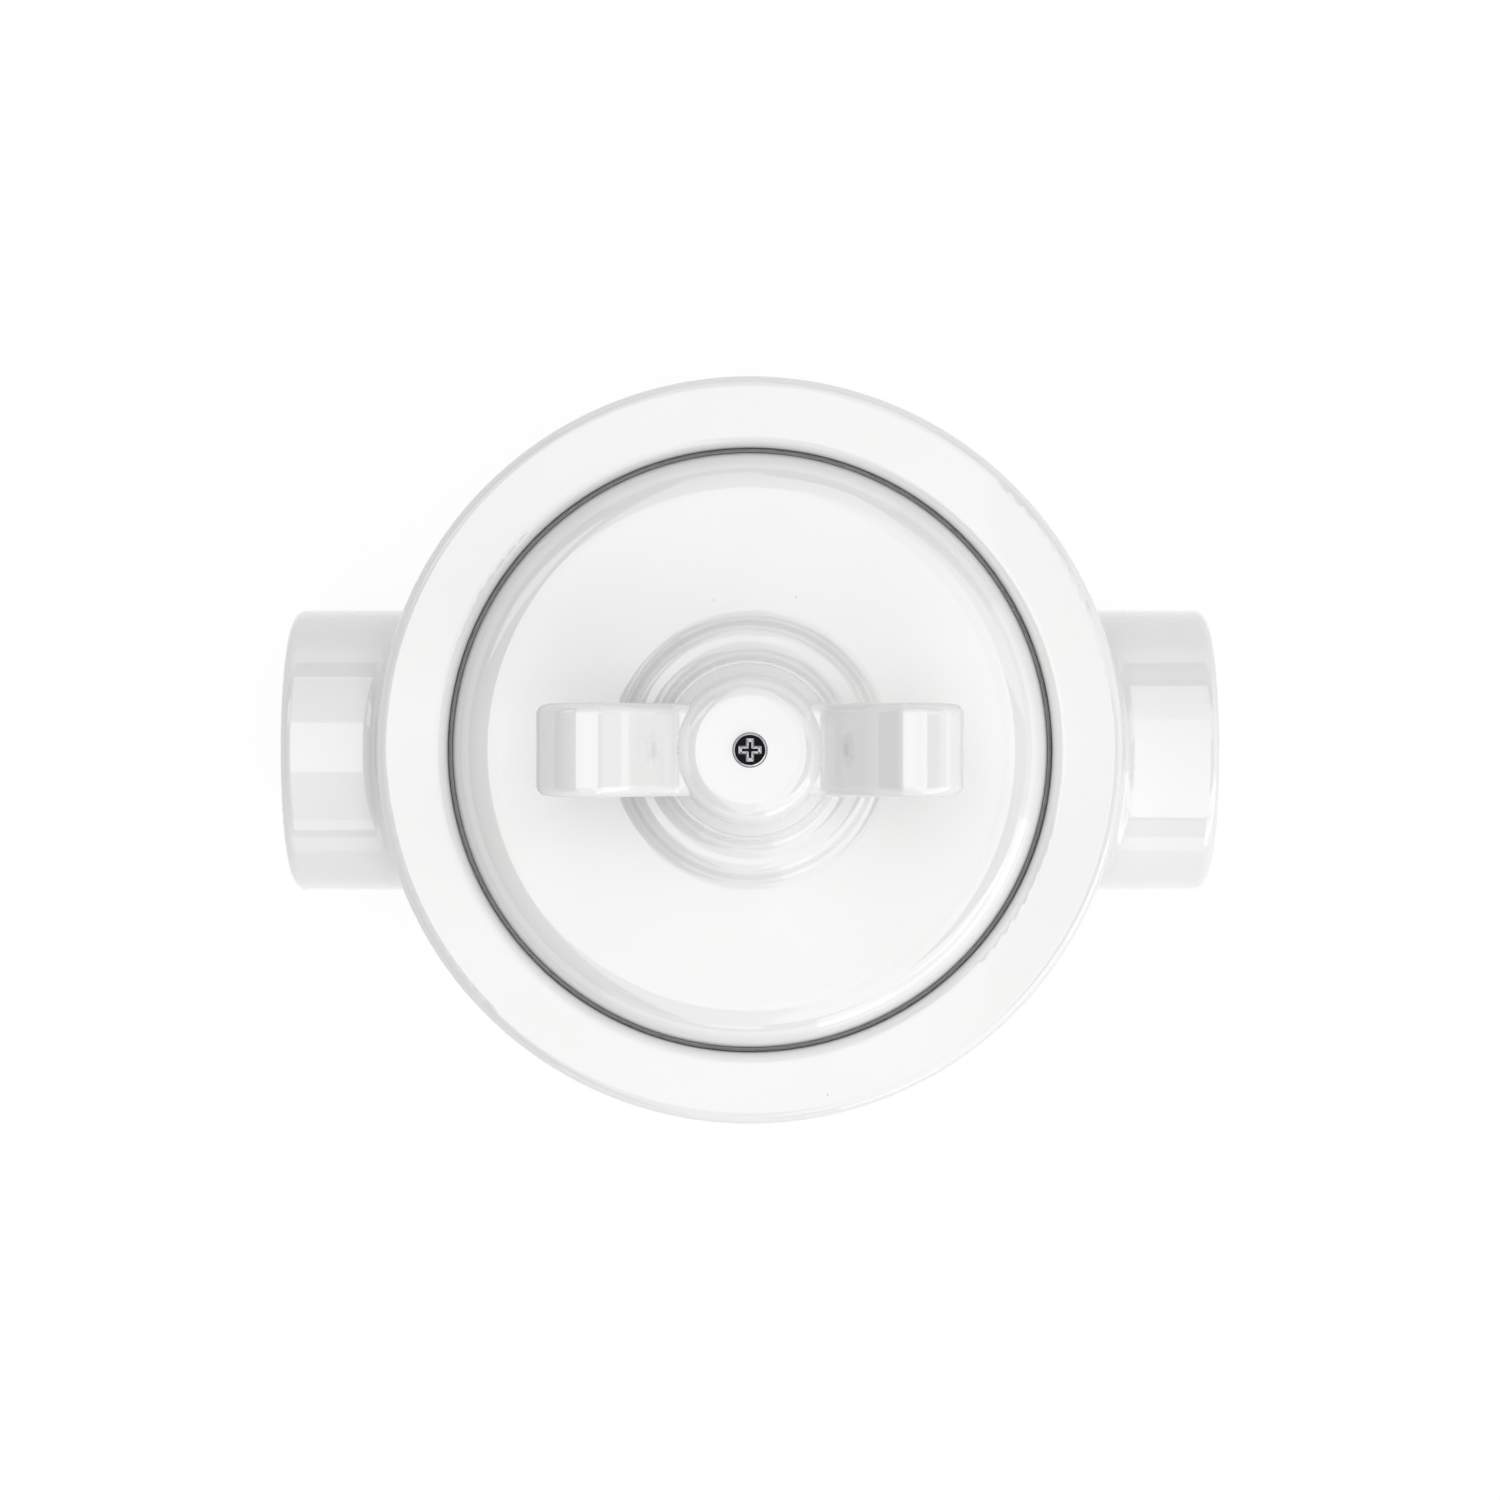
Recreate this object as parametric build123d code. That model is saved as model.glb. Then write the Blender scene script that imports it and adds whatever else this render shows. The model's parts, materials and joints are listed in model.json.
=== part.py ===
from build123d import *
import math
import os

# Porcelain rotary switch for surface conduit, millimetres.
# The origin is the centre of the flat back face, +Z leaves the wall,
# +X runs along the two conduit collars.

# Base body, one porcelain casting with two collars
body_radius = 41.5
body_height = 40.0
body_top_round = 1.4
body_foot_round = 0.8
floor_thickness = 5.0
wall_thickness = 5.0
rim_width = 8.0
mouth_round = 1.45
mouth_depth = 6.0
ledge_width = 2.7
ledge_thickness = 2.5
ledge_slope_height = 4.5
cavity_round = 2.0

# Conduit collars
conduit_radius = 12.5
conduit_clearance = 0.15
socket_depth = 14.0
collar_wall = 3.65
collar_wall_gap = 1.7
collar_length = 11.3
collar_end_round = 1.4
collar_mouth_chamfer = 0.6
collar_root_round = 2.0
cable_passage_radius = 10.0

# Wall screw holes in the floor
wall_hole_inset = 9.5
wall_hole_radius = 2.3
wall_hole_sink_radius = 4.6

# Pillars that carry the switch mechanism
pillar_inset = 11.5
pillar_radius = 4.8
pillar_drop = 4.0
insert_radius = 3.2
insert_length = 9.0
insert_clearance = 0.05
insert_floor = 1.0

# Cover plate
cover_clearance = 0.4
gasket_thickness = 1.0
gasket_width = 2.2
cover_wall = 4.4
cover_rim_height = 2.8
cover_inner_chamfer = 1.5
cover_shoulder_round = 5.0
cover_dish_slope = 3.8
boss_foot_round = 1.7
boss_ring_round = 1.8
boss_steep_angle = 70.0
boss_bell_round = 2.6
boss_mouth_radius = 9.7
boss_lip_height = 0.9
nut_recess_radius = 8.2
nut_recess_depth = 4.8
cover_hole_clearance = 0.3

# Cover nut and its washer on the threaded bush
bush_radius = 5.0
bush_flange_radius = 6.4
bush_flange_thickness = 0.7
bush_stand = 0.5
bush_fit = 0.05
nut_flats = 13.0
nut_thickness = 3.0
nut_washer_radius = 7.7
nut_washer_thickness = 0.8
thread_clearance = 0.04

# Bridge strap across the pillars
bridge_thickness = 1.5
bridge_disc_radius = 17.5
bridge_strap_width = 13.0
bridge_hole_clearance = 0.3
bridge_screw_radius = 1.95
bridge_screw_length = 8.0
bridge_screw_head_radius = 3.5
bridge_screw_head_height = 2.4
bridge_washer_radius = 3.9
bridge_washer_thickness = 0.8
screw_slot_width = 0.9
screw_slot_depth = 1.0

# Switch block of steatite
block_length = 45.0
block_pillar_gap = 2.2
block_height = 15.0
block_corner_round = 6.0
block_floor = 3.7
well_clearance = 0.6
block_screw_reach = 14.6
block_screw_radius = 1.45
block_screw_head_radius = 2.75
block_screw_head_height = 2.0
block_screw_end_gap = 0.4
block_nut_flats = 5.5
block_nut_thickness = 2.4
block_nut_recess = 3.0
block_fit = 0.1

# Terminals with their fixed contacts
terminal_end_inset = 4.9
terminal_side_inset = 5.4
terminal_length = 8.6
terminal_width = 6.6
terminal_height = 7.6
terminal_floor = 3.7
contact_tongue_width = 3.6
contact_tongue_thickness = 2.6
contact_gap = 0.3
wire_hole_radius = 1.7
wire_hole_floor = 1.3
wire_hole_stop = 1.2
wire_guide_clearance = 0.4
terminal_screw_radius = 1.7
terminal_screw_head_radius = 2.6
terminal_screw_head_height = 1.8
terminal_screw_bite = 3.6
terminal_screw_offset = 0.6
terminal_screw_lift = 0.4

# Turning parts
spindle_radius = 3.0
spindle_running_clearance = 0.05
spindle_flat = 2.2
spindle_end_gap = 0.1
tapped_hole_spare = 0.5
pivot_radius = 2.2
pivot_depth = 2.0
pivot_end_gap = 0.3
clip_groove_radius = 1.7
clip_thickness = 0.7
clip_radius = 4.2
clip_opening = 2.6
axial_play = 0.5
rotor_radius = 9.6
rotor_disc_thickness = 2.9
moving_contact_thickness = 1.2
moving_contact_width = 4.0
moving_contact_radius = 10.6
cam_side = 11.0
cam_thickness = 1.8
cam_corner_round = 1.6
thrust_washer_radius = 5.4
thrust_washer_thickness = 0.3
drive_fit = 0.03

# Leaf springs that click on the square cam
detent_gap = 0.3
detent_thickness = 0.5
detent_half_length = 10.6
detent_seat_clearance = 0.1

# Knob
knob_gap = 0.4
knob_foot_radius = 9.6
knob_hub_radius = 8.15
knob_skirt_height = 1.9
knob_hub_height = 5.7
knob_hub_round = 2.8
knob_recess_radius = 7.0
knob_recess_depth = 1.0
knob_washer_radius = 5.6
knob_washer_thickness = 0.6
knob_socket_depth = 2.7
knob_screw_recess_depth = 0.5
knob_screw_recess_clearance = 0.12
knob_screw_hole_clearance = 0.2
wing_reach = 22.8
wing_width = 10.0
wing_root_share = 0.35
wing_valley_setback = 0.35
wing_valley_height = 4.2
wing_valley_round = 1.0
wing_bend_inset = 10.0
wing_bend_height = 10.2
wing_bend_round = 11.0
wing_crest_inset = 6.9
wing_crest_height = 12.5
wing_crest_round = 1.8
wing_end_round = 5.4
wing_heel_height = 2.6
wing_heel_round = 2.4
wing_underside_height = 0.7
wing_edge_round = 1.25

# Knob screw
knob_screw_radius = 0.97
knob_screw_length = 7.0
knob_screw_head_radius = 1.78
knob_screw_head_height = 1.1
knob_screw_head_round = 0.6
knob_screw_recess_arm = 1.25
knob_screw_recess_width = 0.42
knob_screw_cross_depth = 0.7

# Radii and reaches that follow from the sizes above
socket_radius = conduit_radius + conduit_clearance
collar_radius = socket_radius + collar_wall
collar_axis_height = collar_radius + collar_wall_gap
collar_reach = body_radius + collar_length
well_radius = moving_contact_radius + well_clearance
cavity_radius = body_radius - wall_thickness
mouth_radius = body_radius - rim_width
ledge_radius = mouth_radius - ledge_width
cover_radius = mouth_radius - cover_clearance
pillar_reach = cavity_radius - pillar_inset
wall_hole_reach = cavity_radius - wall_hole_inset
block_width = 2 * (pillar_reach - pillar_radius - block_pillar_gap)
terminal_x = block_length / 2 - terminal_end_inset
terminal_y = block_width / 2 - terminal_side_inset
contact_bearing = math.degrees(math.atan2(terminal_y, terminal_x))

# Outer face of the cover: shoulder arc, shallow dish, boss foot, boss ring and bell
dish_slope = math.radians(cover_dish_slope)
boss_steep = math.radians(boss_steep_angle)
cover_foot = body_height - mouth_depth + gasket_thickness
shoulder_center = (cover_radius - cover_shoulder_round, cover_foot + cover_rim_height)
cover_crest = shoulder_center[1] + cover_shoulder_round
dish_rim = (
    shoulder_center[0] - cover_shoulder_round * math.sin(dish_slope),
    shoulder_center[1] + cover_shoulder_round * math.cos(dish_slope),
)
bell_reach = boss_mouth_radius + boss_bell_round
dish_foot_radius = bell_reach + (boss_ring_round + boss_foot_round) * math.sin(boss_steep)
dish_round = (dish_rim[0] - dish_foot_radius) / math.sin(dish_slope)
dish_foot = (dish_foot_radius, dish_rim[1] - dish_round * (1 - math.cos(dish_slope)))
ring_center = (
    bell_reach,
    dish_foot[1] + boss_foot_round - (boss_ring_round + boss_foot_round) * math.cos(boss_steep),
)
bell_center = (bell_reach, ring_center[1] + boss_ring_round + boss_bell_round)
boss_top = bell_center[1] + boss_lip_height

# Heights of what stands on the ledge, on the pillars and on the boss
ledge_height = body_height - mouth_depth
bridge_foot = ledge_height - pillar_drop
bridge_top = bridge_foot + bridge_thickness
bridge_screw_seat = bridge_top + bridge_washer_thickness
block_foot = bridge_foot - block_height
well_floor = block_foot + block_floor
terminal_foot = block_foot + terminal_floor
terminal_top = terminal_foot + terminal_height
wire_height = terminal_foot + wire_hole_radius + wire_hole_floor
bush_foot = bridge_foot - bush_flange_thickness
nut_seat = boss_top - nut_recess_depth
nut_foot = nut_seat + nut_washer_thickness
bush_top = nut_foot + nut_thickness + bush_stand
knob_foot = boss_top + knob_gap
knob_ceiling = knob_foot + knob_recess_depth
knob_washer_foot = knob_ceiling - knob_washer_thickness
knob_socket_top = knob_ceiling + knob_socket_depth
hub_top = knob_foot + knob_hub_height
knob_screw_seat = hub_top - knob_screw_recess_depth

# Heights of the turning stack, which rests against the spindle's shoulder
stack_top = bush_foot - axial_play
cam_foot = stack_top - cam_thickness
upper_disc_foot = cam_foot - rotor_disc_thickness
moving_contact_foot = upper_disc_foot - moving_contact_thickness
stack_foot = moving_contact_foot - rotor_disc_thickness


def ring(outer, inner, foot, height):
    """Plain round ring about the Z axis."""
    blank = Cylinder(outer, height, align=(Align.CENTER, Align.CENTER, Align.MIN))
    hole = Cylinder(inner, 3 * height)
    return Pos(0, 0, foot) * (blank - hole)


def rod(radius, foot, top):
    """Upright round rod about the Z axis."""
    return Pos(0, 0, foot) * Cylinder(radius, top - foot, align=(Align.CENTER, Align.CENTER, Align.MIN))


def lying_rod(radius, start, end, height):
    """Round rod along X at the given height."""
    solid = Cylinder(radius, end - start, align=(Align.CENTER, Align.CENTER, Align.MIN))
    return Pos(start, 0, height) * Rot(0, 90, 0) * solid


def flatted_rod(radius, flat, foot, top):
    """Round rod with two flats, as the spindle has under its driven parts."""
    slab = Box(2 * flat, 4 * radius, top - foot, align=(Align.CENTER, Align.CENTER, Align.MIN))
    return rod(radius, foot, top) & (Pos(0, 0, foot) * slab)


def drive_hole(foot, top):
    """Hole that fits over the flatted spindle."""
    return flatted_rod(spindle_radius + drive_fit, spindle_flat + drive_fit, foot, top)


def hexagon(flats, foot, height):
    """Hexagonal prism with lightly chamfered corners."""
    blank = extrude(RegularPolygon(flats / 2, 6, major_radius=False), height)
    corner = flats / math.sqrt(3)
    turned = chamfer(rod(corner, 0, height).edges().filter_by(GeomType.CIRCLE), 0.08 * flats)
    return Pos(0, 0, foot) * (blank & turned)


def slotted_screw(shank, length, head, head_height, head_foot):
    """Cheese-head screw hanging from its head, with one slot."""
    top = head_foot + head_height
    blank = rod(head, head_foot, top) + rod(shank, head_foot - length, head_foot)
    rim = blank.edges().filter_by(GeomType.CIRCLE).sort_by(Axis.Z)[-1]
    blank = fillet(rim, 0.25 * head_height)
    slot = Pos(0, 0, top) * Box(screw_slot_width, 4 * head, 2 * screw_slot_depth)
    return blank - slot


def base_profile():
    """Half section of the round body."""
    with BuildSketch(Plane.XZ) as sketch:
        with BuildLine():
            ledge_foot = ledge_height - ledge_thickness
            outline = [
                (0, 0),
                (body_radius, 0),
                (body_radius, body_height),
                (mouth_radius, body_height),
                (mouth_radius, ledge_height),
                (ledge_radius, ledge_height),
                (ledge_radius, ledge_foot),
                (cavity_radius, ledge_foot - ledge_slope_height),
                (cavity_radius, floor_thickness),
                (0, floor_thickness),
            ]
            cast_round = 0.4
            rounds = [0, body_foot_round, body_top_round, mouth_round, 0]
            rounds += [cast_round, cast_round, 1.5, cavity_round, 0]
            FilletPolyline(*outline, radius=rounds, close=True)
        make_face()
    return sketch.sketch


def pillar(side):
    """Lug on the inside of the wall with a pocket for its threaded insert."""
    depth = cavity_radius - pillar_reach + wall_thickness / 2
    web = Box(2 * pillar_radius, depth, bridge_foot, align=(Align.CENTER, Align.MIN, Align.MIN))
    post = Cylinder(pillar_radius, bridge_foot, align=(Align.CENTER, Align.CENTER, Align.MIN))
    lug = Pos(0, pillar_reach, 0) * (web + post)
    return Rot(0, 0, 0 if side > 0 else 180) * lug


def insert_pocket(side):
    """Blind hole in a pillar for the threaded insert."""
    pocket = rod(insert_radius + insert_clearance, bridge_foot - insert_length, bridge_foot + 1)
    return Pos(0, side * pillar_reach, 0) * pocket


def base_body():
    """Round cup with two collars, ledge, pillars and wall holes, cast in one piece."""
    body = revolve(base_profile(), Axis.Z)
    collars = lying_rod(collar_radius, -collar_reach, collar_reach, collar_axis_height)
    collars = fillet(collars.edges().filter_by(GeomType.CIRCLE), collar_end_round)
    hollow = rod(cavity_radius, floor_thickness, body_height)
    body = body + (collars - hollow)
    root = body.edges().filter_by(GeomType.BSPLINE).filter_by(
        lambda edge: edge.bounding_box().max.Z > collar_axis_height + 0.9 * collar_radius
    )
    body = fillet([edge for edge in root if outside_wall(edge)], collar_root_round)
    for side in (1, -1):
        body = body + pillar(side)
    for side in (1, -1):
        body = body - insert_pocket(side)
        body = body - Rot(0, 0, 0 if side > 0 else 180) * conduit_way()
        body = body - Pos(side * wall_hole_reach, 0, 0) * wall_hole()
    return body


def outside_wall(edge):
    """True for an edge that lies on the outer face of the round wall."""
    middle = edge @ 0.5
    return abs(math.hypot(middle.X, middle.Y) - body_radius) < 0.01


def conduit_way():
    """Socket for the conduit end and the narrower cable passage behind its stop."""
    axis = collar_axis_height
    socket = lying_rod(socket_radius, collar_reach - socket_depth, collar_reach + 1, axis)
    passage = lying_rod(cable_passage_radius, cavity_radius - cable_passage_radius, collar_reach, axis)
    lip_outer = socket_radius + collar_mouth_chamfer
    lip = Cone(
        socket_radius, lip_outer, collar_mouth_chamfer, align=(Align.CENTER, Align.CENTER, Align.MIN)
    )
    lip = Pos(collar_reach - collar_mouth_chamfer, 0, collar_axis_height) * Rot(0, 90, 0) * lip
    return socket + passage + lip


def wall_hole():
    """Countersunk hole for a wall screw."""
    sink_depth = wall_hole_sink_radius - wall_hole_radius
    sink = Cone(
        wall_hole_radius, wall_hole_sink_radius, sink_depth, align=(Align.CENTER, Align.CENTER, Align.MAX)
    )
    return rod(wall_hole_radius, -1, floor_thickness + 1) + Pos(0, 0, floor_thickness) * sink


def pillar_inserts():
    foot = bridge_foot - insert_length
    tube = rod(insert_radius, foot, bridge_foot)
    tube = tube - rod(bridge_screw_radius + thread_clearance, foot + insert_floor, bridge_foot + 1)
    return Compound(children=[Pos(0, side * pillar_reach, 0) * tube for side in (1, -1)])


def cover_gasket():
    return ring(cover_radius, cover_radius - gasket_width, ledge_height, gasket_thickness)


def on_arc(center, radius, angle):
    """Point of the cover's section on an arc, its angle counted from straight up towards the rim."""
    return (center[0] + radius * math.sin(angle), center[1] + radius * math.cos(angle))


def cover_profile():
    """Half section of the cover plate, its outer face made of tangent arcs."""
    dish_center = (dish_foot[0], dish_foot[1] + dish_round)
    foot_center = (dish_foot[0], dish_foot[1] + boss_foot_round)
    steep_point = on_arc(ring_center, boss_ring_round, boss_steep)
    ring_top = on_arc(ring_center, boss_ring_round, 0)
    bell_end = (boss_mouth_radius, bell_center[1])
    rim_top = (cover_radius, shoulder_center[1])
    quarter = math.pi / 2
    ceiling = cover_crest - cover_wall
    hole = bush_radius + cover_hole_clearance
    rim_inner = cover_radius - gasket_width
    with BuildSketch(Plane.XZ) as sketch:
        with BuildLine():
            Line((cover_radius, cover_foot), rim_top)
            ThreePointArc(rim_top, on_arc(shoulder_center, cover_shoulder_round, quarter / 2), dish_rim)
            ThreePointArc(dish_rim, on_arc(dish_center, -dish_round, -dish_slope / 2), dish_foot)
            ThreePointArc(dish_foot, on_arc(foot_center, -boss_foot_round, boss_steep / 2), steep_point)
            ThreePointArc(steep_point, on_arc(ring_center, boss_ring_round, boss_steep / 2), ring_top)
            ThreePointArc(ring_top, on_arc(bell_center, -boss_bell_round, quarter / 2), bell_end)
            Polyline(
                bell_end,
                (boss_mouth_radius, boss_top),
                (nut_recess_radius, boss_top),
                (nut_recess_radius, nut_seat),
                (hole, nut_seat),
                (hole, ceiling),
                (rim_inner - cover_inner_chamfer, ceiling),
                (rim_inner, ceiling - cover_inner_chamfer),
                (rim_inner, cover_foot),
                (cover_radius, cover_foot),
            )
        make_face()
    return sketch.sketch


def cover():
    return revolve(cover_profile(), Axis.Z)


def nut_washer():
    return ring(nut_washer_radius, bush_radius + bush_fit, nut_seat, nut_washer_thickness)


def cover_nut():
    nut = hexagon(nut_flats, nut_foot, nut_thickness)
    return nut - rod(bush_radius + thread_clearance, nut_foot - 1, nut_foot + nut_thickness + 1)


def threaded_bush():
    """Bush that guides the spindle, with a flange under the bridge."""
    bush = rod(bush_flange_radius, bush_foot, bridge_foot) + rod(bush_radius, bridge_foot, bush_top)
    bush = chamfer(bush.edges().filter_by(GeomType.CIRCLE).sort_by(Axis.Z)[-1], 0.5)
    return bush - rod(spindle_radius + spindle_running_clearance, bush_foot - 1, bush_top + 1)


def mechanism_bridge():
    half_length = pillar_reach + pillar_radius
    plan = Circle(bridge_disc_radius) + RectangleRounded(bridge_strap_width, 2 * half_length, 4.0)
    plan = plan - Circle(bush_radius + bush_fit)
    for side in (1, -1):
        plan = plan - Pos(0, side * pillar_reach) * Circle(bridge_screw_radius + bridge_hole_clearance)
        plan = plan - Pos(side * block_screw_reach, 0) * Circle(block_screw_radius + block_fit)
    return Pos(0, 0, bridge_foot) * extrude(plan, bridge_thickness)


def bridge_washers():
    inner = bridge_screw_radius + block_fit
    washer = ring(bridge_washer_radius, inner, bridge_top, bridge_washer_thickness)
    return Compound(children=[Pos(0, side * pillar_reach, 0) * washer for side in (1, -1)])


def bridge_screws():
    screw = slotted_screw(
        bridge_screw_radius,
        bridge_screw_length,
        bridge_screw_head_radius,
        bridge_screw_head_height,
        bridge_screw_seat,
    )
    return Compound(children=[Pos(0, side * pillar_reach, 0) * screw for side in (1, -1)])


def block_screws():
    screw = slotted_screw(
        block_screw_radius,
        bridge_top - block_foot - block_screw_end_gap,
        block_screw_head_radius,
        block_screw_head_height,
        bridge_top,
    )
    return Compound(children=[Pos(side * block_screw_reach, 0, 0) * screw for side in (1, -1)])


def block_nuts():
    foot = block_foot + block_nut_recess - block_nut_thickness
    nut = hexagon(block_nut_flats, foot, block_nut_thickness)
    nut = nut - rod(block_screw_radius + thread_clearance, foot - 1, foot + block_nut_thickness + 1)
    return Compound(children=[Pos(side * block_screw_reach, 0, 0) * nut for side in (1, -1)])


def contact_tongue(clearance):
    """Radial tongue of a fixed contact at 45 degrees, grown by a clearance."""
    start = moving_contact_radius + contact_gap
    end = math.hypot(terminal_x, terminal_y)
    middle = moving_contact_foot + moving_contact_thickness / 2
    tongue = Box(
        end - start,
        contact_tongue_width + 2 * clearance,
        contact_tongue_thickness + 2 * clearance,
        align=(Align.MIN, Align.CENTER, Align.CENTER),
    )
    tongue = Rot(0, 0, contact_bearing) * Pos(start, 0, middle) * tongue
    return tongue - rod(moving_contact_radius + contact_gap, block_foot, bridge_foot)


def terminal_seat(clearance):
    """Square body of a terminal, grown by a clearance on its four sides."""
    body = Box(
        terminal_length + 2 * clearance,
        terminal_width + 2 * clearance,
        terminal_height,
        align=(Align.CENTER, Align.CENTER, Align.MIN),
    )
    return Pos(terminal_x, terminal_y, terminal_foot) * body


def terminal_screw_place():
    return Pos(terminal_x + terminal_screw_offset, terminal_y, 0)


def quarters(shape):
    """The four places of a terminal, mirrored about both axes of the block."""
    right = mirror(shape, Plane.XZ)
    return [shape, mirror(shape, Plane.YZ), mirror(right, Plane.YZ), right]


def terminal():
    """Brass terminal with wire hole, screw hole and fixed contact."""
    wire_start = terminal_x - terminal_length / 2 + wire_hole_stop
    wire_hole = lying_rod(wire_hole_radius, wire_start, terminal_x + terminal_length, wire_height)
    screw_hole = rod(terminal_screw_radius + thread_clearance, wire_height, terminal_top + 1)
    body = terminal_seat(0) + contact_tongue(0)
    return body - Pos(0, terminal_y, 0) * wire_hole - terminal_screw_place() * screw_hole


def terminal_screws():
    screw = slotted_screw(
        terminal_screw_radius,
        terminal_screw_bite,
        terminal_screw_head_radius,
        terminal_screw_head_height,
        terminal_top + terminal_screw_lift,
    )
    return Compound(children=quarters(terminal_screw_place() * screw))


def detent_seat(side, clearance):
    """Place of one leaf spring beside the cam, grown by a clearance."""
    near = cam_side / 2 + detent_gap
    leaf = Box(
        detent_thickness + 2 * clearance,
        2 * detent_half_length + 2 * clearance,
        cam_thickness,
        align=(Align.CENTER, Align.CENTER, Align.MIN),
    )
    return Pos(side * (near + detent_thickness / 2), 0, cam_foot) * leaf


def terminal_pocket():
    """Room for a terminal, its screwdriver, its contact and the wire that enters it."""
    well = Box(
        terminal_length + 2 * block_fit,
        terminal_width + 2 * block_fit,
        block_height,
        align=(Align.CENTER, Align.CENTER, Align.MIN),
    )
    guide = lying_rod(wire_hole_radius + wire_guide_clearance, terminal_x, block_length, wire_height)
    room = Pos(terminal_x, terminal_y, terminal_top) * well + terminal_seat(block_fit)
    return room + contact_tongue(block_fit) + Pos(0, terminal_y, 0) * guide


def block_screw_hole():
    """Clearance hole with a hexagonal nut pocket in the underside."""
    hole = rod(block_screw_radius + block_fit, block_foot - 1, bridge_foot + 1)
    return hole + hexagon(block_nut_flats + 2 * block_fit, block_foot - 1, block_nut_recess + 1)


def switch_block():
    """Steatite block with the rotor well, terminal pockets and spring grooves."""
    plan = RectangleRounded(block_length, block_width, block_corner_round)
    block = Pos(0, 0, block_foot) * extrude(plan, block_height)
    block = block - rod(well_radius, well_floor, bridge_foot + 1)
    block = block - rod(pivot_radius + spindle_running_clearance, well_floor - pivot_depth, bridge_foot)
    for cut in quarters(terminal_pocket()):
        block = block - cut
    for side in (1, -1):
        block = block - detent_seat(side, detent_seat_clearance)
        block = block - Pos(side * block_screw_reach, 0, 0) * block_screw_hole()
    return block


def spindle():
    """Steel spindle with flats for the rotor stack below and for the knob above."""
    pivot = rod(pivot_radius, well_floor - pivot_depth + pivot_end_gap, stack_foot)
    groove = ring(2 * pivot_radius, clip_groove_radius, stack_foot - clip_thickness, clip_thickness)
    knob_end = knob_socket_top - spindle_end_gap
    shaft = pivot - groove + flatted_rod(spindle_radius, spindle_flat, stack_foot, stack_top)
    shaft = shaft + rod(spindle_radius, stack_top, knob_washer_foot)
    shaft = shaft + flatted_rod(spindle_radius, spindle_flat, knob_washer_foot, knob_end)
    tapped_foot = knob_screw_seat - knob_screw_length - tapped_hole_spare
    return shaft - rod(knob_screw_radius + thread_clearance, tapped_foot, knob_end + 1)


def spindle_clip():
    """Open retaining clip in the groove below the rotor."""
    clip = ring(clip_radius, clip_groove_radius + drive_fit, stack_foot - clip_thickness, clip_thickness)
    opening = Box(
        clip_opening,
        2 * clip_radius,
        4 * clip_thickness,
        align=(Align.CENTER, Align.MIN, Align.CENTER),
    )
    return clip - Pos(0, 0, stack_foot) * opening


def rotor_disc(foot):
    """Insulating disc that clamps the moving contact."""
    disc = rod(rotor_radius, foot, foot + rotor_disc_thickness)
    return disc - drive_hole(foot - 1, foot + rotor_disc_thickness + 1)


def moving_contact():
    """Contact bar clamped between the rotor discs, its tips on the fixed contacts."""
    top = moving_contact_foot + moving_contact_thickness
    bar = Box(
        2 * moving_contact_radius + 2,
        moving_contact_width,
        moving_contact_thickness,
        align=(Align.CENTER, Align.CENTER, Align.MIN),
    )
    bar = Rot(0, 0, contact_bearing) * Pos(0, 0, moving_contact_foot) * bar
    plate = bar & rod(moving_contact_radius, moving_contact_foot, top)
    plate = plate + rod(1.8 * spindle_radius, moving_contact_foot, top)
    return plate - drive_hole(moving_contact_foot - 1, top + 1)


def index_cam():
    plan = RectangleRounded(cam_side, cam_side, cam_corner_round)
    cam = Pos(0, 0, cam_foot) * extrude(plan, cam_thickness)
    return cam - drive_hole(cam_foot - 1, stack_top + 1)


def thrust_washer():
    inner = spindle_radius + spindle_running_clearance
    return ring(thrust_washer_radius, inner, stack_top, thrust_washer_thickness)


def knob_washer():
    top = knob_washer_foot + knob_washer_thickness
    washer = rod(knob_washer_radius, knob_washer_foot, top)
    return washer - drive_hole(knob_washer_foot - 1, top + 1)


def hub_profile():
    """Half section of the knob's round hub with its flared skirt."""
    with BuildSketch(Plane.XZ) as sketch:
        with BuildLine():
            outline = [
                (0, knob_foot),
                (knob_foot_radius, knob_foot),
                (knob_hub_radius, knob_foot + knob_skirt_height),
                (knob_hub_radius, hub_top),
                (0, hub_top),
            ]
            FilletPolyline(*outline, radius=[0, 0.25, 0.2, knob_hub_round, 0], close=True)
        make_face()
    return sketch.sketch


def wing():
    """One wing: it rises from the valley beside the hub to a crest and rolls over to its end."""
    inside = wing_root_share * knob_hub_radius
    valley_reach = knob_hub_radius - wing_valley_setback
    bend_reach = wing_reach - wing_bend_inset
    crest_reach = wing_reach - wing_crest_inset
    with BuildSketch(Plane.XZ) as sketch:
        with BuildLine():
            outline = [
                (inside, knob_foot + wing_underside_height),
                (inside, knob_foot + wing_valley_height),
                (valley_reach, knob_foot + wing_valley_height),
                (bend_reach, knob_foot + wing_bend_height),
                (crest_reach, knob_foot + wing_crest_height),
                (wing_reach, knob_foot + wing_crest_height),
                (wing_reach, knob_foot + wing_heel_height),
                (knob_hub_radius, knob_foot + wing_underside_height),
            ]
            rounds = [0, 0, wing_valley_round, wing_bend_round, wing_crest_round]
            rounds += [wing_end_round, wing_heel_round, 0]
            FilletPolyline(*outline, radius=rounds, close=True)
        make_face()
    blade = extrude(sketch.sketch, wing_width / 2, both=True)
    flanks = blade.faces().filter_by(Axis.Y)
    rims = [edge for face in flanks for edge in face.edges() if (edge @ 0.5).X > inside + 0.1]
    return fillet(rims, wing_edge_round)


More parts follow.
